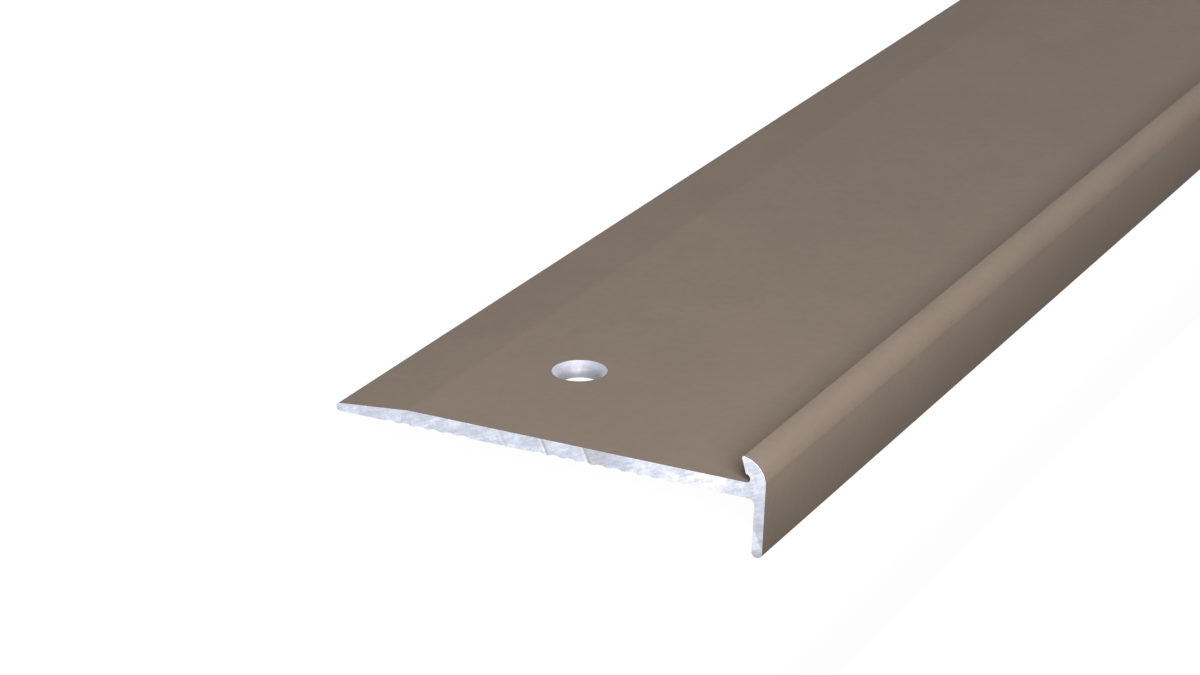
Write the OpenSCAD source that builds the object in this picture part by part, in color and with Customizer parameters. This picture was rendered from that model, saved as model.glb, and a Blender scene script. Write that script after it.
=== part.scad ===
// Stair nosing: one length of extruded aluminium, anodised bronze.
// A flat plate lies on the tread under the floor covering, a rounded crest
// closes the covering's edge, and a lip hangs down over the front of the step.
// X runs from the back edge to the nose, Y along the bar, Z up.
// The origin is below the middle of the bar, at the level of the lip's end.

/* [Bar] */
// Length of the bar
bar_len = 1000; // [300:10:3000]
// Width from the back edge to the front of the nose
bar_w = 60; // [50:0.5:90]

/* [Plate] */
// Thickness of the plate
plate_t = 2; // [1.6:0.05:3]
// Thickness left at the rounded back edge
back_edge_t = 1.05; // [0.8:0.05:1.5]
// Width of the bevel along the back edge
bevel_w = 11; // [6:0.5:16]

/* [Crest] */
// Height of the crest above the plate, which is the covering it takes
crest_h = 3.35; // [3:0.05:5]
// Outer radius of the crest
crest_r = 3.5; // [3:0.1:4]
// Angle on the crest's arc at which the tip ends it
tip_angle = 81; // [75:1:90]
// Radius of the crest's tip
tip_r = 0.22; // [0.1:0.02:0.3]
// Angle by which the crest's inner face leans over the covering
undercut = 15.5; // [5:0.5:20]
// Radius of the relief groove at the foot of the crest
relief_r = 0.55; // [0.4:0.05:0.7]

/* [Lip] */
// Drop of the lip below the plate's underside
lip_drop = 7.6; // [5:0.1:20]
// Thickness of the lip
lip_t = 1.4; // [1.2:0.05:1.8]
// Angle by which the lip is raked back under the nose
lip_rake = 2.6; // [0:0.1:5]
// Radius of the fillet between the lip and the underside
fillet_r = 0.75; // [0.4:0.05:1.5]

/* [Grip grooves] */
// Distance between neighbouring grooves
groove_pitch = 2.12; // [1.9:0.02:4]
// Width of a groove at the underside
groove_w = 1.7; // [0.8:0.05:1.8]
// Depth of a groove
groove_d = 0.2; // [0.1:0.05:0.5]
// Screw line to the first groove behind it
groove_back = 4.75; // [4:0.05:7]
// Screw line to the first groove ahead of it
groove_front = 5.95; // [4:0.05:7]
// Plain strip along the back edge
plain_back = 7; // [3:0.1:9]
// Plain strip behind the lip
plain_front = 4.5; // [2:0.1:8]

/* [Screw holes] */
// Number of holes along the bar
hole_n = 5; // [2:1:12]
// Diameter of the hole
hole_d = 5; // [3:0.1:5.5]
// Diameter of the countersink at the plate's top
sink_d = 7.1; // [5.8:0.1:8]
// Included angle of the countersink
sink_angle = 90; // [80:1:100]
// Back edge to the line of holes
screw_line = 23.3; // [20:0.1:26]
// Bar's end to the centre of the first hole
end_margin = 21.5; // [10:0.5:60]

/* [Hidden] */
bronze = "#8b7c6e";
$fn = 96;
// Distance by which a cutter runs past a face
over = 0.5;
// Largest gap between a round stretch and its chords
arc_err = 0.005;

back_x = -bar_w / 2;
nose_x = bar_w / 2;
seat_z = lip_drop;
top_z = seat_z + plate_t;
crest_z = top_z + crest_h;
screw_x = back_x + screw_line;

// Centre of the crest's outer arc. The lip's outer face leaves the arc as its tangent.
arc_x = nose_x - crest_r;
arc_z = crest_z - tip_r - (crest_r - tip_r) * sin(tip_angle);
// Distances of the lip's inner face and of its middle from that centre
lip_in = crest_r - lip_t;
lip_mid = crest_r - lip_t / 2;
// Length of the lip from the tangent to the centre of its rounded end
lip_len = (arc_z - lip_t / 2 - lip_mid * sin(lip_rake)) / cos(lip_rake);

// Point that lies out from the crest's centre and down along the raked lip
function on_lip(out, down) = [
    arc_x + out * cos(lip_rake) - down * sin(lip_rake),
    arc_z - out * sin(lip_rake) - down * cos(lip_rake)
];
// Distance down the lip at which a line parallel to it reaches a height
function down_to(z, out) = (arc_z - z - out * sin(lip_rake)) / cos(lip_rake);

// Corner where the lip's inner face would meet the underside
lip_corner = on_lip(lip_in, down_to(seat_z, lip_in));
// Centre of the fillet in that corner
fillet_at = on_lip(lip_in - fillet_r, down_to(seat_z - fillet_r, lip_in - fillet_r));

// Crest tip and the face that leans over the covering, down to the relief groove
tip_at = [arc_x + (crest_r - tip_r) * cos(tip_angle), crest_z - tip_r];
relief_z = top_z + relief_r;
face_top = tip_at - tip_r * [cos(undercut), sin(undercut)];
relief_x = face_top.x + (face_top.y - relief_z - relief_r) * tan(undercut);

groove_r = (pow(groove_w / 2, 2) + pow(groove_d, 2)) / (2 * groove_d);
groove_room_back = screw_line - groove_back - groove_w / 2 - plain_back;
groove_room_front = lip_corner.x - screw_x - groove_front - groove_w / 2 - plain_front;
hole_pitch = (bar_len - 2 * end_margin) / (hole_n - 1);
sink_depth = (sink_d - hole_d) / 2 / tan(sink_angle / 2);

// Points along an arc, from one angle to another about its centre
function arc(centre, r, from, to) =
    let (n = ceil(abs(to - from) / (2 * acos(1 - arc_err / r))))
    [for (i = [0 : n]) centre + r * [cos(from + (to - from) * i / n), sin(from + (to - from) * i / n)]];

// Rounded back edge, from the tangent of the bevel down to the underside
function back_edge() =
    let (
        r = back_edge_t / 2,
        reach = [bevel_w - r, plate_t - r],
        tangent = atan2(reach.y, reach.x) + acos(r / norm(reach))
    )
    arc([back_x + r, seat_z + r], r, tangent, 270);

// Fillet under the plate, inner face of the lip and its rounded end
function lip() = concat(
    arc(fillet_at, fillet_r, 90, -lip_rake),
    arc(on_lip(lip_mid, lip_len), lip_t / 2, 180 - lip_rake, 360 - lip_rake)
);

// Quarter-round crest, its tip, the undercut inner face and the relief groove at its foot
function crest() = concat(
    arc([arc_x, arc_z], crest_r, -lip_rake, tip_angle),
    arc(tip_at, tip_r, tip_angle, 180 + undercut),
    arc([relief_x, relief_z], relief_r, 90, -90)
);

// Shallow round grooves that key the adhesive, left out under the screw line
module grooves_2d() {
    for (x = [groove_back : groove_pitch : groove_back + groove_room_back])
        groove_2d(screw_x - x);
    for (x = [groove_front : groove_pitch : groove_front + groove_room_front])
        groove_2d(screw_x + x);
}

module groove_2d(x) {
    translate([x, seat_z + groove_d - groove_r]) circle(r = groove_r);
}

module section_2d() {
    bevel_end = [back_x + bevel_w, top_z];
    difference() {
        polygon(concat(back_edge(), lip(), crest(), [bevel_end]));
        grooves_2d();
    }
}

// Countersunk screw hole, as a cutter with its axis along Z
module screw_hole() {
    translate([0, 0, seat_z - over]) cylinder(d = hole_d, h = plate_t + 2 * over);
    translate([0, 0, top_z - sink_depth])
        cylinder(
            d1 = hole_d,
            d2 = sink_d + 2 * over * tan(sink_angle / 2),
            h = sink_depth + over
        );
}

module stair_nosing() {
    color(bronze)
        difference() {
            rotate([90, 0, 0]) linear_extrude(height = bar_len, center = true) section_2d();
            for (i = [0 : hole_n - 1])
                translate([screw_x, -bar_len / 2 + end_margin + i * hole_pitch, 0]) screw_hole();
        }
}

stair_nosing();
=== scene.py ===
"""Stair nosing in bronze anodised aluminium, dressed for the render.

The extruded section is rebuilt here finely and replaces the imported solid. Its sizes are the source's,
apart from a slightly narrower bevel and a slight crease between the crest and the lip. The sawn ends
and the drilled holes are bare metal. Lengths are in metres, and angles in degrees.
"""

import math
from typing import NamedTuple

import bmesh
import bpy
from mathutils import Euler, Matrix, Vector


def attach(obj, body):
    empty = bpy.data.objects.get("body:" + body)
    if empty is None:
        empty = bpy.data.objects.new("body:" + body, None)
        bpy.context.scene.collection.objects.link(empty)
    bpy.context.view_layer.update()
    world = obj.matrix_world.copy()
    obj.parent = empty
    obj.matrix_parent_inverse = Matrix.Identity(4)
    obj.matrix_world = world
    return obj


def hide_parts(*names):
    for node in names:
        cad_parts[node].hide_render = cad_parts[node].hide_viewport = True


MM = 0.001


class Noise(NamedTuple):
    """A noise pattern: size of its blotches, and how much finer detail it has."""

    size: float
    detail: float
    roughness: float


class Softbox(NamedTuple):
    """A soft light on the nose's side.

    In the section's plane, height is its angle above the floor and breadth the angle that it covers. It is
    turned by swing towards the near end, stands off the bar by reach, and faces the bar at y.
    """

    height: float
    breadth: float
    swing: float
    reach: float
    length: float
    y: float
    power: float


# Bar
BAR_LEN = 1000 * MM
BAR_W = 60 * MM
# Plate
PLATE_T = 2 * MM
BACK_EDGE_T = 1.05 * MM
BEVEL_W = 10.65 * MM
# Crest
CREST_H = 3.35 * MM
CREST_R = 3.5 * MM
TIP_ANGLE = 81
TIP_R = 0.22 * MM
UNDERCUT = 15.5
RELIEF_R = 0.55 * MM
# Lip, with the angle on the crest's arc at which its outer face starts in a slight crease
LIP_DROP = 7.6 * MM
LIP_T = 1.4 * MM
LIP_RAKE = 2.6
LIP_CREASE = 8
FILLET_R = 0.75 * MM
# Grip grooves under the plate
GROOVE_PITCH = 2.12 * MM
GROOVE_W = 1.7 * MM
GROOVE_D = 0.2 * MM
GROOVE_BACK = 4.75 * MM
GROOVE_FRONT = 5.95 * MM
BACK_GROOVES = 6
FRONT_GROOVES = 12
# Screw holes
HOLE_N = 5
HOLE_R = 2.5 * MM
SINK_R = 3.55 * MM
SINK_DEPTH = SINK_R - HOLE_R
SCREW_LINE = 23.3 * MM
END_MARGIN = 21.5 * MM

# Places that follow from these sizes
BACK_X = -BAR_W / 2
SEAT_Z = LIP_DROP
TOP_Z = SEAT_Z + PLATE_T
CREST_Z = TOP_Z + CREST_H
SCREW_X = BACK_X + SCREW_LINE
ARC_X = BAR_W / 2 - CREST_R
ARC_Z = CREST_Z - TIP_R - (CREST_R - TIP_R) * math.sin(math.radians(TIP_ANGLE))

# Soft breaks: bevel's upper edge, sawn edges, holes' rims, and the countersink's cone into the bore
BEVEL_BREAK_R = 8 * MM
SAW_BREAK = 0.035 * MM
DRILL_BREAK = 0.03 * MM
SINK_EASE_R = 1.2 * MM
# Mesh: gap between an arc and its chords, steps round a hole, what counts as a corner, lead of flat faces
ARC_ERR = 0.0005 * MM
HOLE_SEGMENTS = 128
SHARP_ANGLE = 12
FLAT_WEIGHT = 100

# Scores that the saw left on the ends: place and strength of each, lean for each unit of height, section
SCORES = ((-2.1 * MM, 0.4), (3.74 * MM, 1.0), (9.58 * MM, 0.85))
SCORE_LEAN = 0.45
SCORE_LEFT = 0.34 * MM
SCORE_RIGHT = 0.28 * MM
SCORE_DEPTH = 0.04 * MM

# Colours, in linear light, and their places on a scale of tone
BRONZE_DARK = (0.215, 0.17, 0.1345, 1.0)
BRONZE_LIGHT = (0.245, 0.194, 0.1535, 1.0)
SAWN_GREY = (0.44, 0.442, 0.475, 1.0)
SAWN_BLUE = (0.56, 0.588, 0.68, 1.0)
SAWN_WHITE = (0.9, 0.905, 0.92, 1.0)
SAWN_SHADES = ((0.0, SAWN_GREY), (0.42, SAWN_BLUE), (1.0, SAWN_WHITE))
# Drilled colours, from painted shade deep in a hole up to its lit top
DRILLED_IN_SHADE = (0.3, 0.308, 0.325, 1.0)
DRILLED_TOP = (0.445, 0.455, 0.515, 1.0)
DRILLED_SHADES = ((0.0, DRILLED_IN_SHADE), (1.0, DRILLED_TOP))

# Gloss of each finish, as the lowest and highest roughness, and the height of its relief
BRONZE_METALLIC = 0.06
BRONZE_SPECULAR = 0.03
BRONZE_ROUGHNESS = (0.47, 0.57)
BRONZE_RELIEF = 0.004 * MM
SAWN_ROUGHNESS = (0.55, 0.7)
SAWN_RELIEF = 0.02 * MM
DRILLED_ROUGHNESS = (0.66, 0.76)
DRILLED_RELIEF = 0.01 * MM

# Noise patterns of the finishes, and the range that most of such noise lies in
CLOUDS = Noise(14 * MM, 3.0, 0.5)
DIE_LINES = Noise(0.9 * MM, 4.0, 0.6)
MOTTLE = Noise(1.3 * MM, 3.0, 0.6)
GRAIN = Noise(0.16 * MM, 2.0, 0.6)
STREAKS = Noise(0.5 * MM, 3.0, 0.6)
SCRATCHES = Noise(0.3 * MM, 2.0, 0.5)
PATCHES = Noise(1.5 * MM, 1.0, 0.5)
SAW_BLOTCHES = Noise(0.9 * MM, 3.0, 0.65)
SAW_SPECKS = Noise(0.22 * MM, 2.0, 0.5)
DRILL_RINGS = Noise(0.12 * MM, 2.0, 0.5)
DRILL_BLOTCHES = Noise(1.2 * MM, 3.0, 0.5)
DRILL_SPECKS = Noise(0.55 * MM, 2.0, 0.5)
NOISE_LOW = 0.3
NOISE_HIGH = 0.7

# Scale of the die lines and the drill's rings, which lengthens them along the bar and round the hole
LINE_SCALE = (1.0, 0.012, 1.0)
RING_SCALE = (0.05, 0.05, 1.0)
# Climb of the saw's marks, and how much longer than wide they are
SAW_CLIMB = 25
STREAK_STRETCH = 4.0
SCRATCH_STRETCH = 9.0
PATCH_STRETCH = 2.5
# Part of the patches' noise over which the metal goes from whole to torn, and the scores from worn to clear
TORN_RANGE = (0.51, 0.56)
WORN_RANGE = (0.35, 0.6)

# Stretches of the sawn ends: darker after the last score, then pale, then bright, both painted highlights,
# and the lip's foot, a painted highlight
DARKER_STRETCH_W = 7 * MM
PALE_FROM = 11 * MM
BRIGHT_FROM = 19 * MM
BRIGHT_TO = 27 * MM
FOOT_H = 4.2 * MM
FOOT_SCORE = 30.1 * MM
# Widths over which scores and stretches start and end, and how far the streaks make limits ragged
SCORE_EDGE = 0.05 * MM
SCORE_SHADE_W = 1.5 * SCORE_RIGHT
SCORE_SHADE_EDGE = 2 * SCORE_EDGE
STRETCH_START = 3 * MM
BRIGHT_END = 5 * MM
NOSE_START = 2 * MM
RAGGED = 5 * MM
# Heights between which the nose and the foot go from their first to their second change of tone
NOSE_RISE = (SEAT_Z - 3 * MM, TOP_Z + 1 * MM)
FOOT_RISE = (0.1 * FOOT_H, 0.32 * FOOT_H)
# Tone of the sawn metal before its marks, and the changes that the scores and the stretches bring, among
# them painted highlight and shade on the scores' sides and painted highlights on the pale and bright
# stretches and the lip's foot
SAWN_BASE = -0.55
SCORE_PAINTED_HIGHLIGHT = 0.12
SCORE_PAINTED_SHADE = -0.4
DARKER_STRETCH_TONE = -0.3
PALE_HIGHLIGHT_TONE = 0.2
BRIGHT_HIGHLIGHT_TONE = 0.45
NOSE_TONE = (-0.08, 0.16)
FOOT_HIGHLIGHT_TONE = (-0.16, 0.3)
# Share of a score's painted highlight and shade that is left where it is worn, and of the bright stretches'
# painted highlight on whole and on torn metal
WORN_SHARE = 0.5
WHOLE_SHARE = 1.3
TORN_SHARE = 0.5
# Depth over which painted shade darkens a hole, and the tone at that depth and at the top
HOLE_SHADE_DEPTH = 1.3 * SINK_DEPTH
HOLE_SHADE_TONE = (-0.95, 0.05)

# Camera, solved from the photograph, with lens and sensor in millimetres
CAMERA_AT = (0.188343, -0.837645, 0.178141)
PITCH = 21.863
AZIMUTH = 28.137
ROLL = -0.157
LENS = 103.5
SENSOR_W = 36.0

# Studio
FLOOR_SIZE = 40.0
FLOOR_COLOUR = (0.08, 0.08, 0.08, 1.0)
FLOOR_WHITE = 0.98
WORLD_WHITE = (1.0, 1.0, 1.0, 1.0)
AMBIENT = 0.03
CARD_X = 50 * MM
CARD_H = 17 * MM
CARD_BLACK = (0.01, 0.01, 0.01, 1.0)

# Lights
SOFTBOXES = {
    "key_softbox": Softbox(45, 49, 42, 0.65, 0.3, -0.47, 6.97),
    "long_softbox": Softbox(45, 54, 0, 1.0, 2.4, 0.0, 3.48),
    "far_softbox": Softbox(75, 50, 0, 0.15, 0.7, 0.22, 0.36),
}

# Places of the bare finishes in the piece's row of materials, after the bronze
SAWN, DRILLED = 1, 2


def polar(centre, radius, degrees):
    angle = math.radians(degrees)
    return centre[0] + radius * math.cos(angle), centre[1] + radius * math.sin(angle)


def arc(centre, radius, start, end):
    """Points along an arc, close enough that its chords stay within ARC_ERR of it."""
    step = math.degrees(2 * math.acos(1 - ARC_ERR / radius))
    count = math.ceil(abs(end - start) / step)
    return [polar(centre, radius, start + (end - start) * i / count) for i in range(count + 1)]


def on_lip(out, down):
    """Point out from the crest's centre and down along the raked lip."""
    sine, cosine = math.sin(math.radians(LIP_RAKE)), math.cos(math.radians(LIP_RAKE))
    return ARC_X + out * cosine - down * sine, ARC_Z - out * sine - down * cosine


def down_to(height, out):
    """Distance down the lip at which a line parallel to it reaches a height."""
    sine, cosine = math.sin(math.radians(LIP_RAKE)), math.cos(math.radians(LIP_RAKE))
    return (ARC_Z - height - out * sine) / cosine


def bevel_normal():
    """Direction that the bevel faces, from X."""
    radius = BACK_EDGE_T / 2
    reach_x, reach_z = BEVEL_W - radius, PLATE_T - radius
    turn = math.atan2(reach_z, reach_x) + math.acos(radius / math.hypot(reach_x, reach_z))
    return math.degrees(turn)


def back_edge_points():
    """Rounded back edge, from the bevel down to the underside."""
    radius = BACK_EDGE_T / 2
    return arc((BACK_X + radius, SEAT_Z + radius), radius, bevel_normal(), 270)


def bevel_break_points():
    """The soft break between the plate's top and the bevel."""
    half_turn = math.radians(bevel_normal() - 90) / 2
    x = BACK_X + BEVEL_W + BEVEL_BREAK_R * math.tan(half_turn)
    return arc((x, TOP_Z - BEVEL_BREAK_R), BEVEL_BREAK_R, 90, bevel_normal())


def groove_centres():
    behind = [SCREW_X - GROOVE_BACK - i * GROOVE_PITCH for i in range(BACK_GROOVES)]
    ahead = [SCREW_X + GROOVE_FRONT + i * GROOVE_PITCH for i in range(FRONT_GROOVES)]
    return sorted(behind + ahead)


def groove_points(x):
    radius = ((GROOVE_W / 2) ** 2 + GROOVE_D**2) / (2 * GROOVE_D)
    half = math.degrees(math.asin(GROOVE_W / 2 / radius))
    return arc((x, SEAT_Z + GROOVE_D - radius), radius, 90 + half, 90 - half)


def lip_points():
    """Fillet under the plate, and the lip's rounded end."""
    inner, middle = CREST_R - LIP_T, CREST_R - LIP_T / 2
    fillet_at = on_lip(inner - FILLET_R, down_to(SEAT_Z - FILLET_R, inner - FILLET_R))
    end_at = on_lip(middle, down_to(LIP_T / 2, middle))
    fillet = arc(fillet_at, FILLET_R, 90, -LIP_RAKE)
    end = arc(end_at, LIP_T / 2, 180 - LIP_RAKE, 360 - LIP_RAKE)
    return fillet + end


def crest_points():
    """Crest's outer arc from the lip's crease, its tip, and the relief groove below its inner face."""
    tip_at = polar((ARC_X, ARC_Z), CREST_R - TIP_R, TIP_ANGLE)
    face_top = polar(tip_at, TIP_R, 180 + UNDERCUT)
    relief_z = TOP_Z + RELIEF_R
    relief_x = face_top[0] + (face_top[1] - relief_z - RELIEF_R) * math.tan(math.radians(UNDERCUT))
    outer = arc((ARC_X, ARC_Z), CREST_R, LIP_CREASE, TIP_ANGLE)
    tip = arc(tip_at, TIP_R, TIP_ANGLE, 180 + UNDERCUT)
    return outer + tip[1:] + arc((relief_x, relief_z), RELIEF_R, 90, -90)


def section_points():
    """The section's outline, anticlockwise from the bevel's lower end, as X and Z."""
    points = back_edge_points()
    for x in groove_centres():
        points += groove_points(x)
    return points + lip_points() + crest_points() + bevel_break_points()


def inset(points, distance):
    """The outline moved inwards, by each point's mean normal."""
    moved = []
    count = len(points)
    for i, (x, z) in enumerate(points):
        before = Vector(points[i]) - Vector(points[i - 1])
        after = Vector(points[(i + 1) % count]) - Vector(points[i])
        along = (before.normalized() + after.normalized()).normalized()
        moved.append((x - along.y * distance, z + along.x * distance))
    return moved


def loft(mesh, first, second, skip=()):
    """Quads between two closed rings of the same count, apart from the steps to skip."""
    count = len(first)
    faces = []
    for i in range(count):
        if i in skip:
            continue
        j = (i + 1) % count
        faces.append(mesh.faces.new((first[i], first[j], second[j], second[i])))
    return faces


def loop_edges(mesh, ring):
    count = len(ring)
    edges = []
    for i in range(count):
        pair = (ring[i], ring[(i + 1) % count])
        edges.append(mesh.edges.get(pair) or mesh.edges.new(pair))
    return edges


def hole_profile():
    """Radius and height down a countersunk hole: its rims slightly broken, the cone eased into the bore."""
    ease_z = TOP_Z - SINK_DEPTH - SINK_EASE_R * (math.sqrt(2) - 1)
    top = [(SINK_R + DRILL_BREAK, TOP_Z), (SINK_R - DRILL_BREAK, TOP_Z - 2 * DRILL_BREAK)]
    ease = arc((HOLE_R + SINK_EASE_R, ease_z), SINK_EASE_R, 135, 180)
    return top + ease + [(HOLE_R, SEAT_Z + DRILL_BREAK), (HOLE_R + DRILL_BREAK, SEAT_Z)]


def hole_rings(mesh, y):
    """Adds the bare faces down one hole, and gives the rings of its two rims."""
    rings = []
    for radius, z in hole_profile():
        ring = []
        for i in range(HOLE_SEGMENTS):
            x_i, y_i = polar((SCREW_X, y), radius, 360 * i / HOLE_SEGMENTS)
            ring.append(mesh.verts.new((x_i, y_i, z)))
        rings.append(ring)
    for upper, lower in zip(rings, rings[1:]):
        for face in loft(mesh, upper, lower):
            face.material_index = DRILLED
    return rings[0], rings[-1]


def drilled_steps(points):
    """The outline's two flat steps that the screw holes pierce: underside band and plate top."""
    steps = []
    count = len(points)
    for i in range(count):
        (x_a, z_a), (x_b, z_b) = points[i], points[(i + 1) % count]
        spans = min(x_a, x_b) < SCREW_X < max(x_a, x_b)
        if spans and abs(z_a - z_b) < ARC_ERR:
            steps.append(i)
    return steps


def cut_across(mesh, faces, x):
    """Cuts the faces along a score's line, and gives all of them and the corners on the line."""
    edges = dict.fromkeys(edge for face in faces for edge in face.edges)
    verts = dict.fromkeys(vert for face in faces for vert in face.verts)
    cut = bmesh.ops.bisect_plane(
        mesh,
        geom=[*faces, *edges, *verts],
        plane_co=(x, 0.0, 0.0),
        plane_no=(1.0, 0.0, SCORE_LEAN),
    )
    pieces = [item for item in cut["geom"] if isinstance(item, bmesh.types.BMFace)]
    corners = [item for item in cut["geom_cut"] if isinstance(item, bmesh.types.BMVert)]
    return pieces, corners


def score_end(mesh, cap, inwards):
    """Cuts the saw's shallow scores into one end, each a notch with a wide and a narrow side."""
    pieces = [cap]
    floors = []
    for place, strength in SCORES:
        pieces, _ = cut_across(mesh, pieces, place - SCORE_LEFT)
        pieces, lowest = cut_across(mesh, pieces, place)
        pieces, _ = cut_across(mesh, pieces, place + SCORE_RIGHT)
        floors += [(vert, strength) for vert in lowest]
    for vert, strength in floors:
        vert.co.y += inwards * strength * SCORE_DEPTH


def build_profile():
    """The drilled bar as one closed mesh."""
    points = section_points()
    shrunk = inset(points, SAW_BREAK)
    half = BAR_LEN / 2
    stations = [
        (-half, shrunk),
        (-half + SAW_BREAK, points),
        (half - SAW_BREAK, points),
        (half, shrunk),
    ]
    mesh = bmesh.new()
    rings = [[mesh.verts.new((x, y, z)) for x, z in outline] for y, outline in stations]
    pierced = drilled_steps(points)
    loft(mesh, rings[1], rings[2], skip=pierced)
    for face in loft(mesh, rings[0], rings[1]) + loft(mesh, rings[2], rings[3]):
        face.material_index = SAWN
    for ring, inwards in ((rings[0], 1), (rings[3], -1)):
        cap = mesh.faces.new(ring)
        cap.material_index = SAWN
        score_end(mesh, cap, inwards)

    pitch = (BAR_LEN - 2 * END_MARGIN) / (HOLE_N - 1)
    rims = [hole_rings(mesh, -half + END_MARGIN + i * pitch) for i in range(HOLE_N)]
    for step in pierced:
        i, j = step, (step + 1) % len(points)
        border = [rings[1][i], rings[1][j], rings[2][j], rings[2][i]]
        on_top = points[step][1] > SEAT_Z + PLATE_T / 2
        edges = loop_edges(mesh, border)
        for top_rim, low_rim in rims:
            edges += loop_edges(mesh, top_rim if on_top else low_rim)
        bmesh.ops.triangle_fill(mesh, use_beauty=True, use_dissolve=False, edges=edges)
    bmesh.ops.recalc_face_normals(mesh, faces=mesh.faces)
    return mesh


def mark_edges(mesh):
    """Smooth faces, with an edge kept sharp where two faces meet at a true corner."""
    for face in mesh.faces:
        face.smooth = True
    for edge in mesh.edges:
        edge.smooth = edge.calc_face_angle() < math.radians(SHARP_ANGLE)


def make_profile(materials):
    mesh = build_profile()
    mark_edges(mesh)
    data = bpy.data.meshes.new("nosing_profile")
    mesh.to_mesh(data)
    mesh.free()
    for material in materials:
        data.materials.append(material)
    piece = bpy.data.objects.new("nosing_profile", data)
    bpy.context.collection.objects.link(piece)
    weights = piece.modifiers.new("flat_faces_lead", "WEIGHTED_NORMAL")
    weights.keep_sharp = True
    weights.weight = FLAT_WEIGHT
    return piece


class Nodes:
    """Adds nodes to one tree. An input is a number, a colour or the socket that feeds it."""

    def __init__(self, tree):
        self.tree = tree

    def add(self, kind, inputs=None, **settings):
        node = self.tree.nodes.new("ShaderNode" + kind)
        for name, value in settings.items():
            setattr(node, name, value)
        for key, value in (inputs or {}).items():
            self.feed(node, key, value)
        return node

    def feed(self, node, key, value):
        if isinstance(value, bpy.types.NodeSocket):
            self.tree.links.new(value, node.inputs[key])
        else:
            node.inputs[key].default_value = value

    def place(self):
        return self.add("TexCoord").outputs["Object"]

    def axes(self, vector):
        return self.add("SeparateXYZ", {"Vector": vector}).outputs

    def scaled(self, vector, scale):
        return self.add("Mapping", {"Vector": vector, "Scale": scale}).outputs["Vector"]

    def drawn_out(self, vector, climb, factor):
        """Coordinates in which a pattern runs longer by a factor along X, turned up by an angle."""
        inputs = {
            "Vector": vector,
            "Rotation": (0.0, -math.radians(climb), 0.0),
            "Scale": (factor, 1.0, 1.0),
        }
        return self.add("Mapping", inputs, vector_type="TEXTURE").outputs["Vector"]

    def noise(self, vector, kind):
        """Soft noise whose blotches are about one size across."""
        inputs = {
            "Vector": vector,
            "Scale": 1 / kind.size,
            "Detail": kind.detail,
            "Roughness": kind.roughness,
        }
        return self.add("TexNoise", inputs).outputs["Fac"]

    def math(self, operation, first, second=0.0, third=0.0):
        return self.add("Math", {0: first, 1: second, 2: third}, operation=operation).outputs[0]

    def product(self, first, second):
        return self.math("MULTIPLY", first, second)

    def add_up(self, start, *parts):
        """A first value plus others, each times its weight."""
        total = start
        for value, weight in parts:
            total = self.math("MULTIPLY_ADD", value, weight, total)
        return total

    def ramp(self, value, low, high, start=0.0, end=1.0):
        """A value carried smoothly from the range low to high onto start to end."""
        inputs = {"Value": value, "From Min": low, "From Max": high, "To Min": start, "To Max": end}
        return self.add("MapRange", inputs, interpolation_type="SMOOTHSTEP").outputs["Result"]

    def band(self, value, low, high, edge):
        """1 for a value between two limits and 0 outside them, softened over an edge on each side."""
        entered = self.ramp(value, low - edge, low + edge)
        left = self.ramp(value, high - edge, high + edge)
        return self.math("SUBTRACT", entered, left)

    def blend(self, share, first, second):
        """A colour between two. The Mix node's colour sockets share their names, so they go by number."""
        inputs = {"Factor": share, 6: first, 7: second}
        return self.add("Mix", inputs, data_type="RGBA").outputs[2]

    def shades(self, value, stops):
        """A colour from a row of places and colours."""
        node = self.add("ValToRGB", {"Fac": value})
        row = node.color_ramp.elements
        while len(row) < len(stops):
            row.new(0.5)
        for element, (place, colour) in zip(row, stops):
            element.position = place
            element.color = colour
        return node.outputs["Color"]

    def bump(self, height, depth):
        inputs = {"Height": height, "Distance": depth, "Strength": 1.0}
        return self.add("Bump", inputs).outputs["Normal"]


def new_material(name):
    material = bpy.data.materials.new(name)
    material.use_nodes = True
    return material, Nodes(material.node_tree), material.node_tree.nodes["Principled BSDF"]


def make_bronze():
    """Etched and dyed aluminium: a satin bronze with faint clouds, die lines and a fine grain."""
    material, nodes, shader = new_material("bronze_anodised")
    place = nodes.place()
    clouds = nodes.noise(place, CLOUDS)
    lines = nodes.noise(nodes.scaled(place, LINE_SCALE), DIE_LINES)
    mottle = nodes.noise(place, MOTTLE)
    grain = nodes.noise(place, GRAIN)

    tone = nodes.add_up(0.0, (clouds, 0.65), (lines, 0.35), (mottle, 0.6), (grain, 0.4))
    share = nodes.ramp(tone, 2 * NOISE_LOW, 2 * NOISE_HIGH)
    fine = nodes.math("ADD", lines, grain)
    roughness = nodes.ramp(fine, 2 * NOISE_LOW, 2 * NOISE_HIGH, *BRONZE_ROUGHNESS)
    height = nodes.add_up(grain, (lines, 0.5))
    nodes.feed(shader, "Base Color", nodes.blend(share, BRONZE_DARK, BRONZE_LIGHT))
    nodes.feed(shader, "Metallic", BRONZE_METALLIC)
    nodes.feed(shader, "Specular IOR Level", BRONZE_SPECULAR)
    nodes.feed(shader, "Roughness", roughness)
    nodes.feed(shader, "Normal", nodes.bump(height, BRONZE_RELIEF))
    return material


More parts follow.
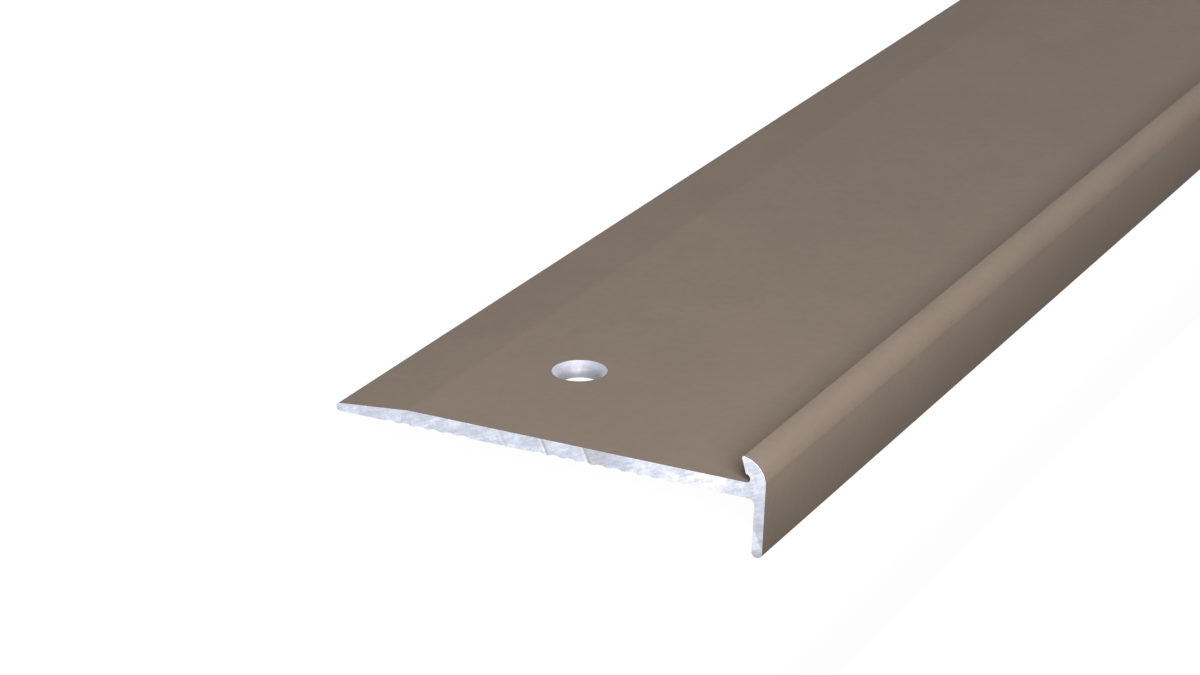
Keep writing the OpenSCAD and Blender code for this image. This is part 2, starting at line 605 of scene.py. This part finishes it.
def with_scores(nodes, tone, across, patches):
    """The tone with the scores, worn in patches, with a painted highlight on each score's wide side and
    painted shade on its narrow side, and the darker stretch that starts at the last one.
    """
    for at, strength in SCORES:
        wide_side = nodes.band(across, at - SCORE_LEFT, at, SCORE_EDGE)
        narrow_side = nodes.band(across, at, at + SCORE_SHADE_W, SCORE_SHADE_EDGE)
        worn = nodes.ramp(patches, *WORN_RANGE, WORN_SHARE * strength, strength)
        light, dark = nodes.product(wide_side, worn), nodes.product(narrow_side, worn)
        # Painted highlight on a score's wide side, painted shade on its narrow side
        tone = nodes.add_up(tone, (light, SCORE_PAINTED_HIGHLIGHT), (dark, SCORE_PAINTED_SHADE))
    last = SCORES[-1][0]
    # A darker stretch after the last score
    after = nodes.ramp(across, last - SCORE_EDGE, last + SCORE_EDGE)
    fading = nodes.ramp(across, last, last + DARKER_STRETCH_W, 1.0, 0.0)
    return nodes.add_up(tone, (nodes.product(fading, after), DARKER_STRETCH_TONE))


def with_painted_highlights(nodes, tone, x, streaks, torn):
    """The tone with the pale and the bright stretch behind the nose, painted highlights, ragged and torn in
    patches.
    """
    ragged = nodes.math("MULTIPLY_ADD", streaks, RAGGED, nodes.math("SUBTRACT", x, RAGGED / 2))
    # The pale and the bright stretch are painted highlights
    pale = nodes.ramp(ragged, PALE_FROM, PALE_FROM + STRETCH_START, 0.0, PALE_HIGHLIGHT_TONE)
    bright = nodes.ramp(ragged, BRIGHT_FROM, BRIGHT_FROM + STRETCH_START, 0.0, BRIGHT_HIGHLIGHT_TONE)
    ending = nodes.ramp(ragged, BRIGHT_TO - BRIGHT_END, BRIGHT_TO, 1.0, 0.0)
    both = nodes.product(nodes.math("ADD", pale, bright), ending)
    share = nodes.add_up(WHOLE_SHARE, (torn, TORN_SHARE - WHOLE_SHARE))
    return nodes.add_up(tone, (both, share))


def with_nose_and_foot(nodes, tone, axes, across):
    """The tone with the nose, paler towards its top, and a painted highlight on the lip's foot, which a
    score ends.
    """
    nose = nodes.ramp(axes["Z"], *NOSE_RISE, *NOSE_TONE)
    tone = nodes.add_up(tone, (nose, nodes.ramp(axes["X"], BRIGHT_TO - NOSE_START, BRIGHT_TO)))
    # The lip's foot: a painted highlight, darker at its very bottom
    foot = nodes.ramp(axes["Z"], *FOOT_RISE, *FOOT_HIGHLIGHT_TONE)
    foot = nodes.product(foot, nodes.band(axes["Z"], -FOOT_H, FOOT_H, SCORE_EDGE))
    foot = nodes.product(foot, nodes.band(across, 0.0, FOOT_SCORE, SCORE_EDGE))
    return nodes.math("ADD", foot, tone)


def make_sawn():
    """Bare sawn aluminium: climbing streaks, scratches and torn patches, scores with painted highlight and
    shade on their sides, a darker stretch, and stretches of painted highlight.
    """
    material, nodes, shader = new_material("sawn_aluminium")
    place = nodes.place()
    axes = nodes.axes(place)
    across = nodes.math("MULTIPLY_ADD", axes["Z"], SCORE_LEAN, axes["X"])
    streaks = nodes.noise(nodes.drawn_out(place, SAW_CLIMB, STREAK_STRETCH), STREAKS)
    scratches = nodes.noise(nodes.drawn_out(place, SAW_CLIMB, SCRATCH_STRETCH), SCRATCHES)
    patches = nodes.noise(nodes.drawn_out(place, SAW_CLIMB, PATCH_STRETCH), PATCHES)
    torn = nodes.ramp(patches, *TORN_RANGE)
    blotch = nodes.noise(place, SAW_BLOTCHES)
    speck = nodes.noise(place, SAW_SPECKS)

    marks = ((streaks, 0.55), (blotch, 0.4), (speck, 0.4), (scratches, 0.5), (torn, 0.1))
    tone = nodes.add_up(SAWN_BASE, *marks)
    tone = with_scores(nodes, tone, across, patches)
    tone = with_painted_highlights(nodes, tone, axes["X"], streaks, torn)
    tone = with_nose_and_foot(nodes, tone, axes, across)
    roughness = nodes.ramp(blotch, NOISE_LOW, NOISE_HIGH, *SAWN_ROUGHNESS)
    height = nodes.add_up(nodes.math("ADD", streaks, blotch), (torn, 0.3))
    nodes.feed(shader, "Base Color", nodes.shades(tone, SAWN_SHADES))
    nodes.feed(shader, "Metallic", 1.0)
    nodes.feed(shader, "Roughness", roughness)
    nodes.feed(shader, "Normal", nodes.bump(height, SAWN_RELIEF))
    return material


def make_drilled():
    """Bare drilled aluminium: the drill's fine rings, and painted shade that darkens it down the hole from
    a bright top.
    """
    material, nodes, shader = new_material("drilled_aluminium")
    place = nodes.place()
    rings = nodes.noise(nodes.scaled(place, RING_SCALE), DRILL_RINGS)
    blotch = nodes.noise(place, DRILL_BLOTCHES)
    speck = nodes.noise(place, DRILL_SPECKS)

    # Painted shade: the hole darker with depth
    painted_shade = nodes.ramp(nodes.axes(place)["Z"], TOP_Z - HOLE_SHADE_DEPTH, TOP_Z, *HOLE_SHADE_TONE)
    tone = nodes.add_up(painted_shade, (rings, 0.3), (blotch, 0.8), (speck, 0.9))
    roughness = nodes.ramp(blotch, NOISE_LOW, NOISE_HIGH, *DRILLED_ROUGHNESS)
    nodes.feed(shader, "Base Color", nodes.shades(tone, DRILLED_SHADES))
    nodes.feed(shader, "Metallic", 1.0)
    nodes.feed(shader, "Roughness", roughness)
    nodes.feed(shader, "Normal", nodes.bump(rings, DRILLED_RELIEF))
    return material


def seen_share(nodes):
    """1 for rays that see the backdrop, straight, in a reflection or through glass, and 0 for the rest."""
    path = nodes.add("LightPath").outputs
    mirrored = nodes.math("MAXIMUM", path["Is Glossy Ray"], path["Is Transmission Ray"])
    return nodes.math("MAXIMUM", path["Is Camera Ray"], mirrored)


def add_floor():
    """Pale floor that looks white where it is lit, and keeps a light shadow."""
    material = bpy.data.materials.new("studio_floor")
    material.use_nodes = True
    tree = material.node_tree
    tree.nodes.clear()
    nodes = Nodes(tree)
    matt = nodes.add("BsdfDiffuse", {"Color": FLOOR_COLOUR}).outputs[0]
    seen = nodes.product(seen_share(nodes), FLOOR_WHITE)
    glow = nodes.add("Emission", {"Strength": seen}).outputs[0]
    both = nodes.add("AddShader", {0: matt, 1: glow}).outputs[0]
    nodes.add("OutputMaterial", {"Surface": both})
    bpy.ops.mesh.primitive_plane_add(size=FLOOR_SIZE)
    floor = bpy.context.object
    floor.name = "studio_floor"
    floor.data.materials.append(material)


def set_world():
    """White for the eye and in reflections, and a low soft light on the object."""
    world = bpy.data.worlds.new("studio")
    bpy.context.scene.world = world
    world.use_nodes = True
    nodes = Nodes(world.node_tree)
    level = nodes.add_up(AMBIENT, (seen_share(nodes), 1 - AMBIENT))
    back = world.node_tree.nodes["Background"]
    nodes.feed(back, "Color", WORLD_WHITE)
    nodes.feed(back, "Strength", level)


def add_softbox(name, box):
    """A soft light that faces the bar, and lights it without showing in the picture."""
    height, swing = math.radians(box.height), math.radians(box.swing)
    aim = Vector((0.0, box.y, 0.0))
    level = math.cos(swing)
    out = Vector((math.cos(height) * level, -math.sin(swing), math.sin(height) * level))
    side = Vector((-math.sin(height), 0.0, math.cos(height)))
    data = bpy.data.lights.new(name, "AREA")
    data.shape = "RECTANGLE"
    data.size = 2 * box.reach * level * math.tan(math.radians(box.breadth) / 2)
    data.size_y = box.length
    data.energy = box.power
    lamp = bpy.data.objects.new(name, data)
    turn = Matrix((side, out.cross(side), out)).transposed()
    lamp.matrix_world = Matrix.Translation(aim + out * box.reach) @ turn.to_4x4()
    lamp.visible_camera = False
    bpy.context.collection.objects.link(lamp)


def add_black_card():
    """A low black card along the nose's side, unseen by the camera, that shades the foot of the lip."""
    material, nodes, shader = new_material("black_card")
    nodes.feed(shader, "Base Color", CARD_BLACK)
    data = bpy.data.meshes.new("black_card")
    foot = [(CARD_X, -BAR_LEN, 0.0), (CARD_X, BAR_LEN, 0.0)]
    head = [(CARD_X, BAR_LEN, CARD_H), (CARD_X, -BAR_LEN, CARD_H)]
    data.from_pydata(foot + head, [], [(0, 1, 2, 3)])
    data.materials.append(material)
    card = bpy.data.objects.new("black_card", data)
    card.visible_camera = False
    bpy.context.collection.objects.link(card)


def add_camera():
    data = bpy.data.cameras.new("photo_view")
    data.lens = LENS
    data.sensor_width = SENSOR_W
    camera = bpy.data.objects.new("photo_view", data)
    turn = Euler((math.radians(90 - PITCH), 0.0, math.radians(AZIMUTH))).to_matrix()
    turn = turn @ Matrix.Rotation(math.radians(ROLL), 3, "Z")
    camera.matrix_world = Matrix.Translation(CAMERA_AT) @ turn.to_4x4()
    bpy.context.collection.objects.link(camera)
    bpy.context.scene.camera = camera


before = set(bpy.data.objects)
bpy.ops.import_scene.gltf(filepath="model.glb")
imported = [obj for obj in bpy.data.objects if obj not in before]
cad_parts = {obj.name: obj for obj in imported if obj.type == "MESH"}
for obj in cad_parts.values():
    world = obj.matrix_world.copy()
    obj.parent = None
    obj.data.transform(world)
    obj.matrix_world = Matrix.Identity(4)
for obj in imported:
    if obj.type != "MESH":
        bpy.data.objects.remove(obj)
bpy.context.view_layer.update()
bpy.context.scene.view_settings.view_transform = "Standard"
add_camera()
set_world()
add_floor()
for name, box in SOFTBOXES.items():
    add_softbox(name, box)
add_black_card()
profile = make_profile([make_bronze(), make_sawn(), make_drilled()])
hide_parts("stair_nosing")
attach(profile, "root")
